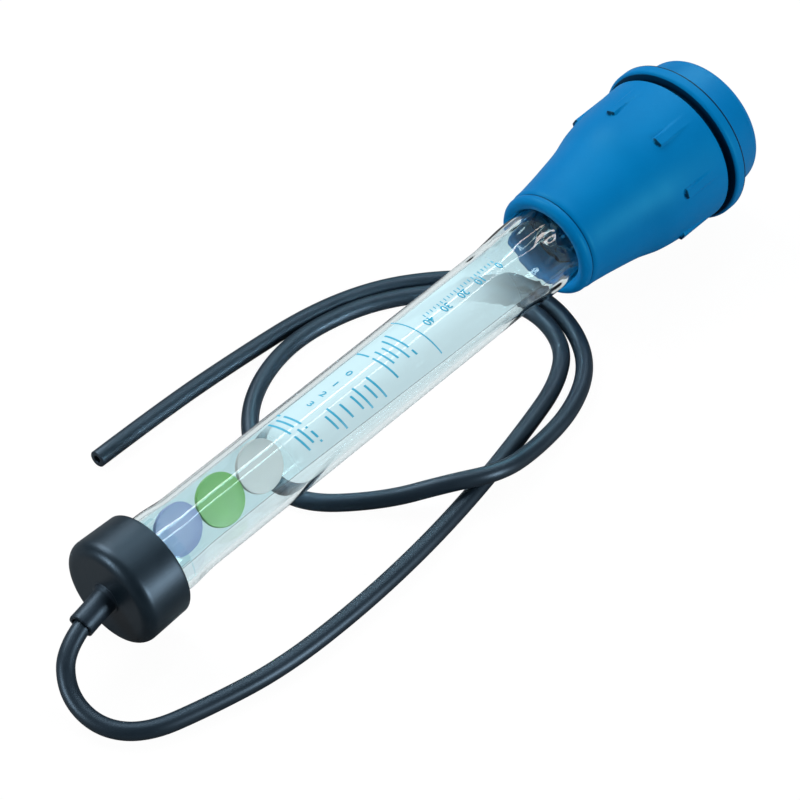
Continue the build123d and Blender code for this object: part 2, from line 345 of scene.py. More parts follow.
cap_side_start = cap_grip_x - cap_rim_round
cap_side_length = cap_face_x + cap_face_round - cap_side_start
cap_outline = [
    (cap_inner_x, 0), (cap_inner_x, cap_bore_r - cap_floor_hold), (cap_inner_x, cap_bore_r),
    (cap_inner_x + cap_floor_hold, cap_bore_r), (cap_grip_x - cap_mouth_round, cap_bore_r),
    *bend(cap_grip_x - cap_mouth_round, cap_bore_r + cap_mouth_round, cap_mouth_round, -90, 0, 3),
    *bend(cap_side_start, cap_rim_r - cap_rim_round, cap_rim_round, 0, 88, 6),
    *[(cap_side_start + cap_side_length * share, cap_rim_r + (cap_r - cap_rim_r) * share)
      for share in cap_side_shares],
    *bend(cap_face_x + cap_face_round, cap_r - cap_face_round, cap_face_round, 92, 180, 14),
    (cap_face_x, cap_r - cap_face_round - cap_face_hold), (cap_face_x, cap_boss_r + 3 * cap_boss_fillet),
    *bend(cap_face_x - cap_boss_fillet, cap_boss_r + cap_boss_fillet, cap_boss_fillet, 0, -90, 3),
    *bend(cap_face_x - cap_boss_height + cap_boss_round / 2, cap_boss_r - 1.5 * cap_boss_round,
          cap_boss_round, 90, 180, 3),
    (cap_face_x - cap_boss_height, 0),
]
cap_rubber = rubber(
    "cap_rubber", (0.002, 0.006, 0.01), (0.006, 0.012, 0.018), 0.34, 0.46, clouds=80.0, bump=0.03,
    shine=0.6, shine_tint=cool_shine)
nozzle_cap = show("nozzle_cup", turned("nozzle_cup", cap_outline), cap_rubber, "tester")
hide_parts("nozzle_cap")

# Nozzle sleeve: a short rubber tube through the cap's floor, pushed down and aside by the
# hose, with a trimmed, slightly ragged mouth that grips the hose.
sleeve_root = lay(cap_face_x, 0, 0)
sleeve_mouth = Vector((-0.1823, -0.00175, 0.02021))
sleeve_r = 5.2
sleeve_bore_r = 3.65
sleeve_passage_r = 1.6
sleeve_reach = 15.2
sleeve_grip = 9.6
sleeve_depth = 4.0
sleeve_sides = 72
sleeve_bore_row = 5.0
rag_scale = 2.6
rag_depth = 0.45
mouth_profile = [(0.5, 0.0), (0.12, 0.2), (0.0, 0.6)]
mouth_edge_profile = [(0.0, -0.5), (0.15, -0.15)]
side_profile = [
    (0.5, 0.0), (3.0, -0.05), (9.0, -0.1), (13.6, 0.0), (14.4, 0.25), (15.0, 0.9), (15.6, 1.1)]


def sleeve_mesh():
    """Tube along the sleeve's own line: x counts from its mouth towards the cap."""
    inward = (sleeve_root - sleeve_mouth).normalized()
    across = inward.cross(Vector((0, 0, 1))).normalized()
    place = (sleeve_mouth, inward, across, inward.cross(across))
    foot_x = sleeve_reach + sleeve_depth
    mouth = [(x, sleeve_bore_r + rise) for x, rise in mouth_profile]
    mouth += [(x, sleeve_r + rise) for x, rise in mouth_edge_profile]
    outline = mouth + [(x, sleeve_r + rise) for x, rise in side_profile]
    outline += [(foot_x, sleeve_r), (foot_x, sleeve_passage_r), (sleeve_grip, sleeve_passage_r)]
    outline += [(sleeve_grip, sleeve_bore_r), (sleeve_bore_row, sleeve_bore_r)]
    rings = [ring_at(place, r * MM, sleeve_sides, x * MM) for x, r in outline]
    for ring in rings[:len(mouth)]:
        for index, point in enumerate(ring):
            angle = 2 * pi * index / sleeve_sides
            rag = noise.noise(Vector((cos(angle), sin(angle), 0)) * rag_scale) * rag_depth
            ring[index] = point + inward * (rag * MM)
    return mesh_from_rings("sleeve_tube", rings)


sleeve_rubber = rubber(
    "sleeve_rubber", (0.003, 0.007, 0.012), (0.008, 0.014, 0.022), 0.4, 0.5, clouds=160.0, bump=0.03,
    shine=0.6, shine_tint=cool_shine)
sleeve_tube = show("sleeve_tube", sleeve_mesh(), sleeve_rubber, "tester")
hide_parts("nozzle_sleeve")

# Barrel: one drawn tube of clear plastic, a little wider at both ends, with cut and
# softened edges. The cap and the bulb's neck are pushed over it, and the discs show through.
barrel_wall = 2.0
nozzle_flare_r = 17.0
barrel_r = 16.0
bulb_flare_r = 17.3
nozzle_flare_x = 22.5
nozzle_taper_x = 36.5
bulb_taper_x = 210.5
bulb_flare_x = 230.5
barrel_end_x = 257.5
barrel_cut_edge = 0.4
barrel_end_round = 0.5
nozzle_flare_rows = (0.5, 6.0, 12.0, 18.0)
bulb_flare_rows = (238.0, 246.0)
nozzle_waves_fade = (20.0, 40.0)
bulb_waves_rise = (185.0, 235.0)
no_film_turn = -150.0


def ease(share):
    """Smooth step from 0 to 1."""
    return share * share * (3 - 2 * share)


def barrel_line(inset):
    """Outline of the barrel from the nozzle end to the bulb end, moved in by the inset."""
    line = [(x, nozzle_flare_r) for x in (*nozzle_flare_rows, nozzle_flare_x)]
    for first_x, first_r, last_x, last_r, steps in (
        (nozzle_flare_x, nozzle_flare_r, nozzle_taper_x, barrel_r, 8),
        (nozzle_taper_x, barrel_r, bulb_taper_x, barrel_r, 30),
        (bulb_taper_x, barrel_r, bulb_flare_x, bulb_flare_r, 8),
    ):
        for step in range(1, steps + 1):
            share = step / steps
            line.append((first_x + (last_x - first_x) * share, first_r + (last_r - first_r) * ease(share)))
    line += [(x, bulb_flare_r) for x in (*bulb_flare_rows, barrel_end_x - barrel_end_round)]
    return [(x, r - inset) for x, r in line]


def unlay(point):
    """Where a point in metres lies on the tool: millimetres along, degrees round from the top, radius."""
    x = point.x / MM - tool_start_x
    z = point.z / MM - tool_axis_z
    along, height = x * cos(lean) + z * sin(lean), z * cos(lean) - x * sin(lean)
    return along, degrees(atan2(-point.y / MM, height)), hypot(point.y / MM, height)


def label_film_group():
    """Printed film on the barrel, from its place along and round: tint, milky ground, and dark lines at its
    edges, the one at its last edge a painted reflection.
    """
    first_softness, last_softness, line_core, first_line_share = 1.5, 0.6, 0.2, 0.35
    group, given = shader_group("label_film", (
        ("First Angle", -21.5), ("Last Angle", 67.0), ("Drift", 0.083), ("Drift Start", 80.0),
        ("Line Width", 0.9), ("Milk Start", 74.0), ("Milk Full", 92.0), ("Milk Fade", 180.0),
        ("Milk End", 226.0),
    ), ("Tint", "Milk", "Line"))
    along = add_node(group, "ShaderNodeAttribute", attribute_name="along")["Fac"]
    turn = add_node(group, "ShaderNodeAttribute", attribute_name="turn")["Fac"]
    past = calc(group, "MAXIMUM", calc(group, "SUBTRACT", along, given["Drift Start"]), 0.0)
    eased = calc(group, "SUBTRACT", turn, calc(group, "MULTIPLY", past, given["Drift"]))
    first_full = calc(group, "ADD", given["First Angle"], first_softness)
    inside = smooth_step(group, turn, given["First Angle"], first_full)
    last_full = calc(group, "SUBTRACT", given["Last Angle"], last_softness)
    beyond = smooth_step(group, eased, last_full, given["Last Angle"])
    film = calc(group, "MULTIPLY", inside, calc(group, "SUBTRACT", 1.0, beyond))
    begun = smooth_step(group, along, given["Milk Start"], given["Milk Full"])
    faded = smooth_step(group, along, given["Milk Fade"], given["Milk End"])
    milk = calc(group, "MULTIPLY", calc(group, "MULTIPLY", film, begun), calc(group, "SUBTRACT", 1.0, faded))
    lines = []
    for place, edge in ((eased, "Last Angle"), (turn, "First Angle")):
        off = calc(group, "ABSOLUTE", calc(group, "SUBTRACT", place, given[edge]))
        lines.append(calc(group, "SUBTRACT", 1.0, smooth_step(group, off, line_core, given["Line Width"])))
    line = calc(group, "MAXIMUM", lines[0], calc(group, "MULTIPLY", lines[1], first_line_share))
    add_node(group, "NodeGroupOutput", {"Tint": film, "Milk": milk, "Line": line})
    return group


def clear_plastic_material():
    """Clear plastic under a cool printed film; lamps shine through it and its flared ends are wavy."""
    refraction = 1.49
    nozzle_wave_share, wave_depth = 0.16, 0.0034
    milk_cover, painted_line_cover = 0.86, 0.7
    material, tree, shader = new_material("clear_plastic", 0.02)
    film = add_node(tree, "ShaderNodeGroup", node_tree=label_film_group())
    bloom = add_node(tree, "ShaderNodeGroup", {
        "Cloud Scale": 25.0, "Grain Share": 0.0}, node_tree=rubber_bloom)
    gloss = drift(tree, bloom["Mask"], 0.01, 0.035)
    place = add_node(tree, "ShaderNodeTexCoord")["Object"]
    stretched = add_node(tree, "ShaderNodeMapping", {"Vector": place, "Scale": (0.55, 1.0, 1.0)})[0]
    drawn = add_node(tree, "ShaderNodeTexNoise", {"Vector": stretched, "Scale": 80.0, "Detail": 1.0})[0]
    along = add_node(tree, "ShaderNodeAttribute", attribute_name="along")["Fac"]
    at_nozzle = calc(tree, "SUBTRACT", 1.0, smooth_step(tree, along, *nozzle_waves_fade))
    at_bulb = smooth_step(tree, along, *bulb_waves_rise)
    unevenness = calc(tree, "ADD", calc(tree, "MULTIPLY", at_nozzle, nozzle_wave_share), at_bulb)
    waves = add_node(tree, "ShaderNodeBump", {
        "Height": drawn, "Strength": unevenness, "Distance": wave_depth})[0]
    set_sockets(tree, shader, {
        "Transmission Weight": 1.0, "IOR": refraction, "Roughness": gloss, "Normal": waves,
        "Base Color": mix_colours(tree, film["Tint"], (0.8, 0.89, 0.91), (0.5, 0.73, 0.78))})
    # The film's milky ground is print; its dark edge lines are painted reflection, drawn into its colour and
    # cover.
    print_and_painted_line_colour = mix_colours(tree, film["Line"], (0.56, 0.74, 0.79), (0.1, 0.12, 0.14))
    print_and_painted_line = add_node(tree, "ShaderNodeBsdfPrincipled", {
        "Base Color": print_and_painted_line_colour, "Roughness": 0.03, "IOR": refraction})[0]
    cover = calc(tree, "MAXIMUM", calc(tree, "MULTIPLY", film["Milk"], milk_cover),
                 calc(tree, "MULTIPLY", film["Line"], painted_line_cover))
    inked = mix_shaders(tree, cover, shader.outputs[0], print_and_painted_line)
    lamp_ray = add_node(tree, "ShaderNodeLightPath")["Is Shadow Ray"]
    see_through = add_node(tree, "ShaderNodeBsdfTransparent", {"Color": (0.93, 0.96, 0.97, 1)})[0]
    surface = mix_shaders(tree, lamp_ray, inked, see_through)
    set_sockets(tree, tree.nodes["Material Output"], {"Surface": surface})
    return material


barrel_outline = (
    [(0.0, nozzle_flare_r - barrel_wall + barrel_cut_edge), (0.0, nozzle_flare_r - barrel_cut_edge)]
    + barrel_line(0)
    + bend(barrel_end_x - barrel_end_round, bulb_flare_r - barrel_end_round, barrel_end_round, 80, 0, 4)
    + bend(barrel_end_x - barrel_end_round, bulb_flare_r - barrel_wall + barrel_end_round,
           barrel_end_round, 0, -80, 4)
    + barrel_line(barrel_wall)[::-1]
)
barrel_mesh = turned("barrel_tube", barrel_outline)
along_values = barrel_mesh.attributes.new("along", "FLOAT", "POINT").data
turn_values = barrel_mesh.attributes.new("turn", "FLOAT", "POINT").data
for index, vertex in enumerate(barrel_mesh.vertices):
    along, turn, radius = unlay(vertex.co)
    along_values[index].value = along
    turn_values[index].value = turn if radius > barrel_r - barrel_wall / 2 else no_film_turn
clear_plastic = clear_plastic_material()
barrel_tube = show("barrel_tube", barrel_mesh, clear_plastic, "tester")
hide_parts("barrel")

# Printed scale: cyan ink on the barrel's film. Number rows and plain bars run across the
# barrel and are read with the bulb up; a ruler runs along it behind a curved end line.
ink_height = 0.03
ink_skin = 0.02
bar_cut = 0.8
scale_skew = 0.22
scale_bars = [
    (86.4, 1.0, ((-5.0, 4.8), (6.4, 14.3))), (89.8, 1.0, ((-4.2, 3.4), (5.0, 12.8))),
    (92.8, 1.0, ((-6.5, -4.9), (-3.3, 4.2), (6.2, 7.0), (8.8, 12.2), (13.6, 14.6))),
    (101.7, 1.0, ((7.8, 14.8),)), (104.9, 1.0, ((5.8, 16.9),)), (110.0, 1.0, ((7.6, 14.8),)),
    (115.8, 1.0, ((7.8, 14.8),)), (119.2, 1.0, ((5.8, 16.9),)), (123.5, 1.0, ((7.8, 14.8),)),
    (127.0, 1.0, ((5.8, 16.9),)), (136.4, 0.9, ((-5.6, -0.2), (1.4, 13.7))), (139.9, 0.9, ((-0.3, 8.4),)),
    (143.0, 0.9, ((0.4, 7.8),)), (146.4, 0.9, ((-2.2, 10.3),)), (149.8, 0.9, ((-3.5, 7.0), (8.6, 11.2))),
]
scale_numbers = [("0", 123.5), ("1", 115.9), ("2", 108.9), ("3", 102.0)]
scale_number_arc = -1.0
scale_number_size = 4.2
ruler_numbers = [(str(10 * index), 208.0 - 10.0 * index) for index in range(5)]
ruler_number_arc = 2.3
ruler_number_size = 4.6
letter_weight = 0.09
end_line_x = 158.5
end_line_half_width = 0.3
end_line_angles = (-28.0, 61.5)
end_line_steps = 40


def flat_strip(form, places, half_width):
    """Thin flat strip through (along, arc) places in millimetres, drawn with arc as x and along as y."""
    low, high = [], []
    for along, arc in places:
        low.append(form.verts.new((arc * MM, (along - half_width) * MM, 0)))
        high.append(form.verts.new((arc * MM, (along + half_width) * MM, 0)))
    for index in range(len(places) - 1):
        form.faces.new((low[index], low[index + 1], high[index + 1], high[index]))


def flat_number(form, text, along, arc, size, down_the_barrel=False):
    """Plain number as flat faces, read across the barrel or down it."""
    letters = bpy.data.curves.new("number", "FONT")
    letters.body = text
    letters.size = size * MM
    letters.offset = letter_weight * MM
    holder = bpy.data.objects.new("number", letters)
    bpy.context.scene.collection.objects.link(holder)
    drawn = bpy.data.meshes.new_from_object(holder)
    for vertex in drawn.vertices:
        x, y, _ = vertex.co
        aside, ahead = (y, -x) if down_the_barrel else (x, y)
        vertex.co = (arc * MM + aside, along * MM + ahead, 0)
    form.from_mesh(drawn)
    bpy.data.objects.remove(holder)
    bpy.data.meshes.remove(drawn)


def flat_scale_mesh():
    """All the marks of the scale that don't repeat evenly, flat and cut into slices that can be wrapped."""
    form = bmesh.new()
    for along, width, spans in scale_bars:
        for first, last in spans:
            count = ceil((last - first) / bar_cut)
            places = [(along, first + (last - first) * step / count) for step in range(count + 1)]
            flat_strip(form, places, width / 2)
    first, last = (radians(angle) * barrel_r for angle in end_line_angles)
    shares = [step / end_line_steps for step in range(end_line_steps + 1)]
    flat_strip(form, [(end_line_x, first + (last - first) * share) for share in shares], end_line_half_width)
    for text, along in scale_numbers:
        flat_number(form, text, along, scale_number_arc, scale_number_size)
    for text, along in ruler_numbers:
        flat_number(form, text, along, ruler_number_arc, ruler_number_size, down_the_barrel=True)
    for vertex in form.verts:
        vertex.co.y += scale_skew * vertex.co.x
    for cut in range(ceil(first / bar_cut), ceil(last / bar_cut)):
        bmesh.ops.bisect_plane(form, geom=form.verts[:] + form.edges[:] + form.faces[:],
                               plane_co=(cut * bar_cut * MM, 0, 0), plane_no=(1, 0, 0))
    mesh = bpy.data.meshes.new("flat_scale")
    form.to_mesh(mesh)
    form.free()
    return mesh


def new_tree(name, sizes):
    """Geometry node tree with named inputs: geometry first, then sizes, then its finish."""
    tree = bpy.data.node_groups.new(name, "GeometryNodeTree")
    for socket_name, kind in (("Geometry", "Geometry"), *sizes, ("Finish", "Material")):
        tree.interface.new_socket(socket_name, in_out="INPUT", socket_type="NodeSocket" + kind)
    tree.interface.new_socket("Geometry", in_out="OUTPUT", socket_type="NodeSocketGeometry")
    return tree, add_node(tree, "NodeGroupInput")


def finish_tree(tree, geometry, finish):
    """Realize instances, set the material and leave the tree."""
    real = add_node(tree, "GeometryNodeRealizeInstances", {0: geometry})[0]
    dressed = add_node(tree, "GeometryNodeSetMaterial", {"Geometry": real, "Material": finish})[0]
    add_node(tree, "NodeGroupOutput", {0: dressed})
    return tree


def arrow(tree, operation, *values, out=0):
    """Output of a vector math node; its output 1 is a plain number."""
    names = (0, "Scale") if operation == "SCALE" else (0, 1)
    return add_node(tree, "ShaderNodeVectorMath", zip(names, values), operation=operation)[out]


def joined(tree, *geometries):
    """Output that joins geometries."""
    node = tree.nodes.new("GeometryNodeJoinGeometry")
    for geometry in geometries:
        tree.links.new(geometry, node.inputs[0])
    return node.outputs[0]


def printed_scale_tree():
    """Geometry nodes that add a ruler's ticks to flat marks, wrap all round a barrel and give it a skin."""
    tree, given = new_tree("printed_scale", (
        ("Tick Count", "Int"), ("Tick Step", "Float"), ("First Tick", "Vector"), ("Tick Length", "Float"),
        ("Tick Width", "Float"), ("Barrel Radius", "Float"), ("Height", "Float"), ("Skin", "Float"),
        ("Axis Point", "Vector"), ("Axis Direction", "Vector"), ("Top Direction", "Vector"),
    ))
    step = add_node(tree, "ShaderNodeCombineXYZ", {"Y": given["Tick Step"]})[0]
    row = add_node(tree, "GeometryNodeMeshLine", {
        "Count": given["Tick Count"], "Start Location": given["First Tick"], "Offset": step})[0]
    tick = add_node(tree, "GeometryNodeMeshGrid", {
        "Size X": given["Tick Length"], "Size Y": given["Tick Width"], "Vertices X": 5, "Vertices Y": 2})[0]
    ticks = add_node(tree, "GeometryNodeInstanceOnPoints", {"Points": row, "Instance": tick})[0]
    marks = joined(tree, add_node(tree, "GeometryNodeRealizeInstances", {0: ticks})[0], given["Geometry"])
    flat = add_node(tree, "ShaderNodeSeparateXYZ", {0: add_node(tree, "GeometryNodeInputPosition")[0]})
    turn = calc(tree, "DIVIDE", flat["X"], given["Barrel Radius"])
    radius = calc(tree, "ADD", given["Barrel Radius"], given["Height"])
    aside = arrow(tree, "CROSS_PRODUCT", given["Axis Direction"], given["Top Direction"])
    ahead = arrow(tree, "SCALE", given["Axis Direction"], flat["Y"])
    centre = arrow(tree, "ADD", given["Axis Point"], ahead)
    upward = arrow(
        tree, "SCALE", given["Top Direction"], calc(tree, "MULTIPLY", radius, calc(tree, "COSINE", turn)))
    sideways = arrow(tree, "SCALE", aside, calc(tree, "MULTIPLY", radius, calc(tree, "SINE", turn)))
    place = arrow(tree, "ADD", centre, arrow(tree, "ADD", upward, sideways))
    wrapped = add_node(tree, "GeometryNodeSetPosition", {"Geometry": marks, "Position": place})[0]
    raised = add_node(tree, "GeometryNodeExtrudeMesh", {
        "Mesh": wrapped, "Offset Scale": given["Skin"], "Individual": False})["Mesh"]
    under = add_node(tree, "GeometryNodeFlipFaces", {"Mesh": wrapped})[0]
    closed = joined(tree, raised, under)
    merged = add_node(tree, "GeometryNodeMergeByDistance", {"Geometry": closed, "Distance": 1e-6})[0]
    return finish_tree(tree, merged, given["Finish"])


def shaped_by(mesh, tree, values):
    """Plain mesh that a geometry node tree makes of a mesh, with its named inputs set."""
    holder = bpy.data.objects.new("holder", mesh)
    bpy.context.scene.collection.objects.link(holder)
    modifier = holder.modifiers.new("shape", "NODES")
    modifier.node_group = tree
    for item in tree.interface.items_tree:
        if item.item_type == "SOCKET" and item.in_out == "INPUT" and item.name in values:
            modifier[item.identifier] = values[item.name]
    bpy.context.view_layer.update()
    made = bpy.data.meshes.new_from_object(holder.evaluated_get(bpy.context.evaluated_depsgraph_get()))
    holder.modifiers.remove(modifier)
    bpy.data.objects.remove(holder)
    return made


tool_axis = {
    "Axis Point": tuple(lay(0, 0, 0)), "Axis Direction": (cos(lean), 0.0, sin(lean)),
    "Top Direction": (-sin(lean), 0.0, cos(lean)),
}
cyan_ink = rubber("cyan_ink", (0.02, 0.32, 0.5), (0.04, 0.38, 0.57), 0.3, 0.4, clouds=120.0, bump=0.005)
scale_mesh = shaped_by(flat_scale_mesh(), printed_scale_tree(), {
    "Tick Count": 21, "Tick Step": 2.0 * MM, "First Tick": (0.9 * MM, 167.0 * MM, 0.0),
    "Tick Length": 1.6 * MM, "Tick Width": 0.45 * MM,
    "Barrel Radius": barrel_r * MM, "Height": ink_height * MM, "Skin": ink_skin * MM,
    **tool_axis, "Finish": cyan_ink,
})
scale_mesh.name = "printed_scale"
show("printed_scale", scale_mesh, cyan_ink, "tester")

# Disc retainer and upper disc stop: moulded perforated plates that keep the discs in the
# barrel, one against the cap's floor and one pushed into the wide end.
pale_plastic = rubber(
    "pale_plastic", (0.62, 0.66, 0.68), (0.74, 0.77, 0.79), 0.35, 0.45, clouds=90.0, bump=0.01)
for node_name, plate_plastic, plate_slot in (
    ("disc_retainer", pale_plastic, "pale_plastic"), ("upper_disc_stop", clear_plastic, "clear_plastic"),
):
    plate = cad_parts[node_name]
    plate.data.materials.clear()
    plate.data.materials.append(plate_plastic)

# Coloured discs: three thin punched plastic discs of different densities, loose in the
# barrel. At rest they lie in a row at its nozzle end, each turned aside on the wall.
disc_r = 21.8 / 2
disc_thickness = 2.0
disc_edge_round = 0.4
disc_clear_r = 13.7
disc_middle_share = 0.5
disc_floor = -sqrt(disc_clear_r**2 - disc_r**2)
disc_sides = 128


def disc_mesh(name, x, roll):
    """Disc with rounded edges, drawn flat over the barrel's axis and then turned round it."""
    edge = disc_edge_round
    top = disc_floor + disc_thickness
    profile = [(0, disc_floor), (disc_r * disc_middle_share, disc_floor)]
    rim = disc_r - edge
    profile += [(rim + edge * sin(turn), disc_floor + edge - edge * cos(turn)) for turn in quarter_turn]
    profile += [(rim + edge * cos(turn), top - edge + edge * sin(turn)) for turn in quarter_turn]
    profile += [(disc_r * disc_middle_share, top), (0, top)]
    rings = []
    for r, height in profile:
        ring = []
        for index in range(disc_sides if r else 1):
            turn = 2 * pi * index / disc_sides
            y = r * sin(turn)
            ring.append(lay(
                x + r * cos(turn), y * cos(roll) - height * sin(roll), y * sin(roll) + height * cos(roll)
            ))
        rings.append(ring)
    return mesh_from_rings(name, rings, closed_round=False)


for disc_name, disc_x, disc_roll_angle, disc_low, disc_high in (
    ("blue", 35.6, 60, (0.12, 0.134, 0.245), (0.138, 0.153, 0.275)),
    ("green", 57.6, 51, (0.074, 0.205, 0.024), (0.09, 0.235, 0.032)),
    ("ivory", 79.6, 56, (0.34, 0.285, 0.265), (0.375, 0.315, 0.295)),
):
    disc_plastic = rubber(disc_name + "_plastic", disc_low, disc_high, 0.4, 0.5, clouds=70.0, bump=0.01)
    disc = show(
        disc_name + "_float", disc_mesh(disc_name + "_float", disc_x, radians(disc_roll_angle)), disc_plastic,
        disc_name)
    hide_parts(disc_name + "_disc")

# Squeeze bulb: thick blue moulded rubber that swells from a rolled neck to a shoulder, with a groove
# and a flange behind it and eight grip lugs that sink into the shoulder; painted shade darkens the groove.
neck_bore_r = 17.4
neck_r = 46.6 / 2
lip_x = 239.0
lip_length = 6.5
lip_inner_length = 2.1
lip_outer_length = 3.25
lip_middle = 2.83
lip_top = 2.66
lip_turns = (0.35, 0.7, 1.05)
lip_last_turn = 1.35
crease_profile = [(3.7, 0.48), (4.1, 0.72), (4.5, 0.95), (4.9, 0.72), (5.4, 0.25), (lip_length, 0.02)]
body_x = lip_x + lip_length
shoulder_r = 66.2 / 2
shoulder_x = 316.9
shoulder_round = 0.5
flange_x = 319.9
bulb_back_x = 325.9
flange_r = 71.0 / 2
flange_round = 1.5
flange_edge_row = 0.1
groove_r = shoulder_r - 3.2
groove_lean = 0.05
groove_foot_round = 0.3
groove_round = 0.4
mouth_r = 57.2 / 2
mouth_round = 0.3
cavity_x = 259.5
cavity_end_x = 300.0
cavity_slope = 2.0
swell_shares = [
    (0, 0), (0.12, 0.09), (0.26, 0.245), (0.42, 0.46), (0.555, 0.735), (0.675, 0.865), (0.825, 0.95), (1, 1)]
cavity_shares = [(0, 0), (0.24, 0.42), (0.52, 0.78), (1, 1)]
cavity_row_shares = (0.9, 0.8, 0.7, 0.6, 0.5, 0.4, 0.3, 0.2, 0.1, 0.04, 0)
lug_x = shoulder_x - 25.0
lug_end_x = shoulder_x - 0.6
lug_top_r = shoulder_r - 0.15
bulb_sharp_angle = radians(40)
bulb_sides = 480


def smooth_value(pairs, at, first_slope=0.0):
    """Value at a place on a smooth curve through pairs of place and value, level at its end."""
    slopes = [first_slope]
    for before, here, after in zip(pairs, pairs[1:], pairs[2:]):
        low = (here[1] - before[1]) / (here[0] - before[0])
        high = (after[1] - here[1]) / (after[0] - here[0])
        slopes.append((low * (after[0] - here[0]) + high * (here[0] - before[0])) / (after[0] - before[0]))
    slopes.append(0.0)
    for index in range(len(pairs) - 1):
        (x0, y0), (x1, y1) = pairs[index], pairs[index + 1]
        if at <= x1 or index == len(pairs) - 2:
            run = x1 - x0
            t = (at - x0) / run
            return (
                (2 * t**3 - 3 * t**2 + 1) * y0 + (t**3 - 2 * t**2 + t) * run * slopes[index]
                + (3 * t**2 - 2 * t**3) * y1 + (t**3 - t**2) * run * slopes[index + 1]
            )


def body_radius(x):
    """Outside radius of the bulb's body between neck and shoulder."""
    return neck_r + (shoulder_r - neck_r) * smooth_value(swell_shares, (x - body_x) / (shoulder_x - body_x))


def rows_between(first, last, step):
    """Places from first on, a step apart, that stay short of last."""
    return [first + step * index for index in range(ceil((last - first) / step))]


fine_step, body_step, late_step = 0.3, 1.5, 1.1
fine_lead, fine_count = 1.6, 18
lip_gap, fine_gap, shoulder_gap = 0.6, 0.8, 1.0
fine_rows = [lug_x - fine_lead + fine_step * index for index in range(fine_count)]
body_rows = rows_between(body_x + lip_gap, fine_rows[0] - fine_gap, body_step)
late_rows = rows_between(fine_rows[-1] + late_step, shoulder_x - shoulder_gap, late_step)
lip_outline = [(lip_x + lip_inner_length, neck_bore_r)]
for lip_turn in (*lip_turns, pi / 2):
    lip_outline.append((lip_x + lip_inner_length * (1 - sin(lip_turn)),
                        neck_bore_r + lip_middle * (1 - cos(lip_turn))))
for lip_turn in (*lip_turns, lip_last_turn):
    lip_outline.append((lip_x + lip_outer_length * (1 - cos(lip_turn)),
                        neck_bore_r + lip_middle + lip_top * sin(lip_turn)))
lip_outline += [(lip_x + along, neck_r - depth) for along, depth in crease_profile]
bulb_outline = (
    lip_outline
    + [(x, body_radius(x)) for x in body_rows + fine_rows + late_rows]
    + bend(shoulder_x - shoulder_round, shoulder_r - shoulder_round, shoulder_round, 88, 0, 4)
    + [(shoulder_x + groove_lean, groove_r + groove_foot_round), (shoulder_x + groove_round, groove_r),
       (flange_x - groove_round, groove_r), (flange_x, groove_r + groove_round)]
    + bend(flange_x + flange_round, flange_r - flange_round, flange_round, 180, 90, 6)
    + [(bulb_back_x - flange_round - flange_edge_row, flange_r)]
    + bend(bulb_back_x - flange_round, flange_r - flange_round, flange_round, 90, 0, 6)
    + [(bulb_back_x, mouth_r + mouth_round), (bulb_back_x - mouth_round, mouth_r), (cavity_end_x, mouth_r)]
    + [(cavity_x + (cavity_end_x - cavity_x) * share,
        neck_bore_r + (mouth_r - neck_bore_r) * smooth_value(cavity_shares, share, cavity_slope))
       for share in cavity_row_shares]
)


def grip_lug_tree():
    """Geometry nodes that raise grip lugs out of a turned body, evenly round its axis."""
    tree, given = new_tree("grip_lugs", (
        ("Lug Count", "Float"), ("First Angle", "Float"), ("Lug Width", "Float"), ("Corner Round", "Float"),
        ("Side Softness", "Float"), ("Start", "Float"), ("End", "Float"), ("Top Radius", "Float"),
        ("Least Radius", "Float"), ("Axis Point", "Vector"), ("Axis Direction", "Vector"),
        ("Top Direction", "Vector"),
    ))

    def number(operation, *values):
        return calc(tree, operation, *values)

    def product(first, second):
        return arrow(tree, "DOT_PRODUCT", first, second, out=1)

    position = add_node(tree, "GeometryNodeInputPosition")[0]
    place = arrow(tree, "SUBTRACT", position, given["Axis Point"])
    along = product(place, given["Axis Direction"])
    outward = arrow(tree, "SUBTRACT", place, arrow(tree, "SCALE", given["Axis Direction"], along))
    radius = arrow(tree, "LENGTH", outward, out=1)
    aside = arrow(tree, "CROSS_PRODUCT", given["Axis Direction"], given["Top Direction"])
    angle = number("ARCTAN2", product(outward, aside), product(outward, given["Top Direction"]))
    half_step = number("DIVIDE", pi, given["Lug Count"])
    wrapped = number("WRAP", number("SUBTRACT", angle, given["First Angle"]), half_step,
                     number("MULTIPLY", half_step, -1.0))
    across = number("ABSOLUTE", number("MULTIPLY", radius, number("SINE", wrapped)))
    half_width = number("DIVIDE", given["Lug Width"], 2.0)
    side = number("SUBTRACT", across, number("SUBTRACT", half_width, given["Corner Round"]))
    front = number("SUBTRACT", number("ADD", given["Start"], given["Corner Round"]), along)
    outside = number("SQRT", number(
        "ADD", number("POWER", number("MAXIMUM", side, 0.0), 2.0),
        number("POWER", number("MAXIMUM", front, 0.0), 2.0),
    ))
    inside = number("MINIMUM", number("MAXIMUM", side, front), 0.0)
    distance = number("SUBTRACT", number("ADD", outside, inside), given["Corner Round"])
    window = number("SUBTRACT", 1.0, smooth_step(
        tree, distance, number("MULTIPLY", given["Side Softness"], -1.0), given["Side Softness"]))
    top = number("DIVIDE", given["Top Radius"], number("COSINE", wrapped))
    proud = number("MAXIMUM", number("SUBTRACT", top, radius), 0.0)
    on_skin = number("MULTIPLY", number("GREATER_THAN", radius, given["Least Radius"]),
                     number("LESS_THAN", along, given["End"]))
    rise = number("MULTIPLY", number("MULTIPLY", proud, window), on_skin)
    offset = arrow(tree, "SCALE", arrow(tree, "NORMALIZE", outward), rise)
    raised = add_node(tree, "GeometryNodeSetPosition", {"Geometry": given["Geometry"], "Offset": offset})[0]
    return finish_tree(tree, raised, given["Finish"])
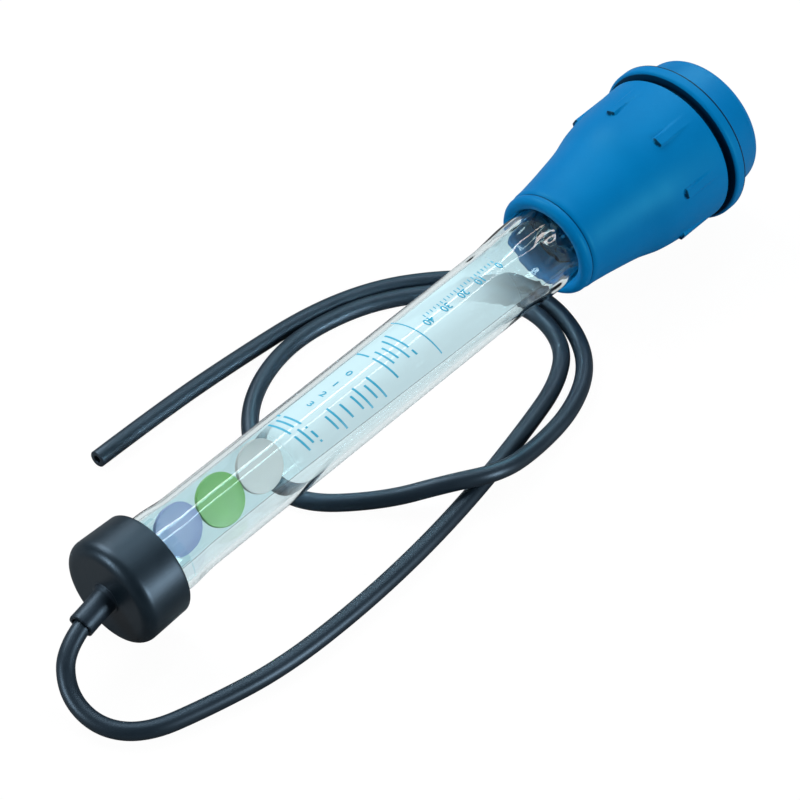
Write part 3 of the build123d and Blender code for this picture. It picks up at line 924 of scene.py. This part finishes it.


# The bulb's rubber has a near-black painted shade colour for its groove, crease, lug ends and the drum's gap.
bulb_rubber = rubber(
    "bulb_rubber", (0.0, 0.13, 0.35), (0.0, 0.155, 0.4), 0.42, 0.52, clouds=30.0, grain=1500.0, bump=0.03,
    shine=0.25, shine_tint=(0.05, 0.8, 1.0), painted_shade_colour=(0.0, 0.004, 0.02))
bulb_mesh = shaped_by(turned("bulb_body", bulb_outline, sides=bulb_sides), grip_lug_tree(), {
    "Lug Count": 8.0, "First Angle": radians(26.5), "Lug Width": 4.6 * MM, "Corner Round": 1.7 * MM,
    "Side Softness": 0.45 * MM, "Start": lug_x * MM, "End": lug_end_x * MM,
    "Top Radius": lug_top_r * MM, "Least Radius": 29.5 * MM, **tool_axis, "Finish": bulb_rubber,
})
bulb_mesh.name = "bulb_body"


def mark_painted_shade(mesh, shade_bands):
    """Attribute of painted shade, set where a point lies within a (first, last, inner, outer, depth) band."""
    values = mesh.attributes.new("painted_shade", "FLOAT", "POINT").data
    for index, vertex in enumerate(mesh.vertices):
        along, _, radius = unlay(vertex.co)
        values[index].value = max(
            [depth for first, last, inner, outer, depth in shade_bands
             if first <= along <= last and inner <= radius <= outer], default=0.0)


# Bands of painted shade along the tool and out from its axis, in millimetres, and how dark each one is: the
# lugs' front ends, the groove, the lip's crease and the flange's back edge.
lug_end_shade = (lug_x - 0.4, lug_x + 0.9, body_radius(lug_x) + 0.45, shoulder_r + 1.0, 0.9)
groove_shade = (shoulder_x, flange_x + 0.5, groove_r - 0.1, flange_r - flange_round + 0.2, 0.88)
lip_crease_shade = (lip_x + 4.3, lip_x + 4.7, neck_bore_r, neck_r - 0.8, 1.0)
flange_edge_shade = (bulb_back_x - flange_round - 0.05, bulb_back_x - 0.7, flange_r - 0.4, flange_r + 0.1, 0.9)
mark_painted_shade(bulb_mesh, (lug_end_shade, groove_shade, lip_crease_shade, flange_edge_shade))
bulb_mesh.set_sharp_from_angle(angle=bulb_sharp_angle)
bulb_body = show("bulb_body", bulb_mesh, bulb_rubber, "tester")
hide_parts("squeeze_bulb")

# Bulb end cap: a hollow drum of the same blue, pressed into the bulb's mouth behind the
# flange; a thin line of painted shade in the gap shows where it meets the flange.
drum_r = 63.0 / 2
drum_end_r = 59.5 / 2
drum_end_x = 342.6
drum_round = 5.0
drum_wall = 2.5
drum_gap = 0.25
drum_edge_round = 0.5
drum_row_step = 2.0
drum_face_hold = 2.0
drum_face_row_r = 12.0
plug_r = mouth_r - 0.1
plug_x = bulb_back_x - 8.0
drum_slope = (drum_end_r - drum_r) / (drum_end_x - drum_round - bulb_back_x)
drum_side = drum_gap + drum_edge_round
drum_rows = [drum_side + drum_row_step * index for index in range(1, 6)]
drum_outline = [
    (drum_end_x - drum_wall, 0), (drum_end_x - drum_wall, plug_r - drum_wall), (plug_x, plug_r - drum_wall),
    (plug_x, plug_r), (bulb_back_x + drum_gap, plug_r), (bulb_back_x + drum_gap, drum_r - drum_edge_round),
    *bend(bulb_back_x + drum_side, drum_r - drum_edge_round, drum_edge_round, 180, 90, 4),
    *[(bulb_back_x + row, drum_r + drum_slope * row) for row in drum_rows],
    *bend(drum_end_x - drum_round, drum_end_r - drum_round, drum_round, 90, 0, 14),
    (drum_end_x, drum_end_r - drum_round - drum_face_hold), (drum_end_x, drum_face_row_r), (drum_end_x, 0),
]
drum_mesh = turned("end_drum", drum_outline)
# Painted shade in the narrow gap where the drum meets the bulb's mouth.
drum_gap_shade = (bulb_back_x - 1.0, bulb_back_x + 0.5, mouth_r - 1.0, drum_r, 1.0)
mark_painted_shade(drum_mesh, (drum_gap_shade,))
end_drum = show("end_drum", drum_mesh, bulb_rubber, "tester")
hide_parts("bulb_end_cap")

# Studio: a plain floor that keeps a soft shadow and a room that lights only dimly, both white
# to the camera and through the barrel, and soft boxes, two of them strips along the barrel.
floor_half_width = 3.0
floor_drop = 0.0002
floor_grey = (0.22, 0.22, 0.22)
floor_glow = 1.14
floor_glow_share = 0.85
room_colour = (0.93, 0.96, 1.0)
room_light = 0.12
floor_form = bmesh.new()
bmesh.ops.create_grid(floor_form, x_segments=8, y_segments=8, size=floor_half_width)
floor_mesh = bpy.data.meshes.new("studio_floor")
floor_form.to_mesh(floor_mesh)
floor_form.free()
studio_floor = bpy.data.objects.new("studio_floor", floor_mesh)
studio_floor.location = (0, 0, -floor_drop)
bpy.context.scene.collection.objects.link(studio_floor)
floor_paint, floor_tree, floor_shader = new_material("floor_paint", 0.9)
floor_rays = add_node(floor_tree, "ShaderNodeLightPath")
floor_seen = calc(floor_tree, "MAXIMUM", floor_rays["Is Camera Ray"], floor_rays["Is Transmission Ray"])
floor_white = add_node(floor_tree, "ShaderNodeEmission", {"Strength": floor_glow})[0]
floor_glow_part = calc(floor_tree, "MULTIPLY", floor_seen, floor_glow_share)
floor_mix = mix_shaders(floor_tree, floor_glow_part, floor_shader.outputs[0], floor_white)
set_sockets(floor_tree, floor_shader, {"Base Color": (*floor_grey, 1), "Specular IOR Level": 0.0})
set_sockets(floor_tree, floor_tree.nodes["Material Output"], {"Surface": floor_mix})
floor_mesh.materials.append(floor_paint)

world = bpy.data.worlds.new("studio_room")
bpy.context.scene.world = world
world.use_nodes = True
room_tree = world.node_tree
room_rays = add_node(room_tree, "ShaderNodeLightPath")
room_undimmed = calc(room_tree, "LESS_THAN", room_rays["Diffuse Depth"], 0.5)
room_through = calc(room_tree, "MULTIPLY", room_rays["Is Transmission Ray"], room_undimmed)
room_seen = calc(room_tree, "MAXIMUM", room_rays["Is Camera Ray"], room_through)
set_sockets(room_tree, room_tree.nodes["Background"], {
    "Color": (*room_colour, 1), "Strength": calc(room_tree, "ADD", room_seen, room_light)})


def soft_box(name, place, angles, width, length, power, colour=(1, 1, 1)):
    """Area lamp of so many watts, at a place in metres, turned from straight down by angles in degrees."""
    lamp = bpy.data.lights.new(name, "AREA")
    lamp.shape = "RECTANGLE"
    lamp.size = width
    lamp.size_y = length
    lamp.energy = power
    lamp.color = colour
    holder = bpy.data.objects.new(name, lamp)
    holder.location = place
    holder.rotation_euler = [radians(angle) for angle in angles]
    bpy.context.scene.collection.objects.link(holder)


soft_box("back_left_box", (0.0, 0.9, 1.05), (-40.5, 0, -6), 0.8, 0.7, 15.0)
soft_box("back_right_box", (1.4, 0.7, 0.85), (-57.5, 0, -63), 0.7, 0.7, 9.0, (0.45, 0.9, 1.0))
soft_box("overhead_strip", (0.7, 0.26, 1.24), (-12, 20, 0), 1.6, 0.085, 5.0)
soft_box("overhead_thin_strip", (0.7, -0.22, 1.22), (10, 20, 0), 1.6, 0.05, 2.6)
soft_box("low_side_box", (0.32, -1.3, 0.32), (78, 0, 20), 0.28, 0.55, 14.0)
soft_box("nozzle_side_box", (-1.3, 0.5, 0.5), (63, 0, -112), 0.4, 0.5, 10.0)

bpy.context.scene.view_settings.view_transform = "Standard"
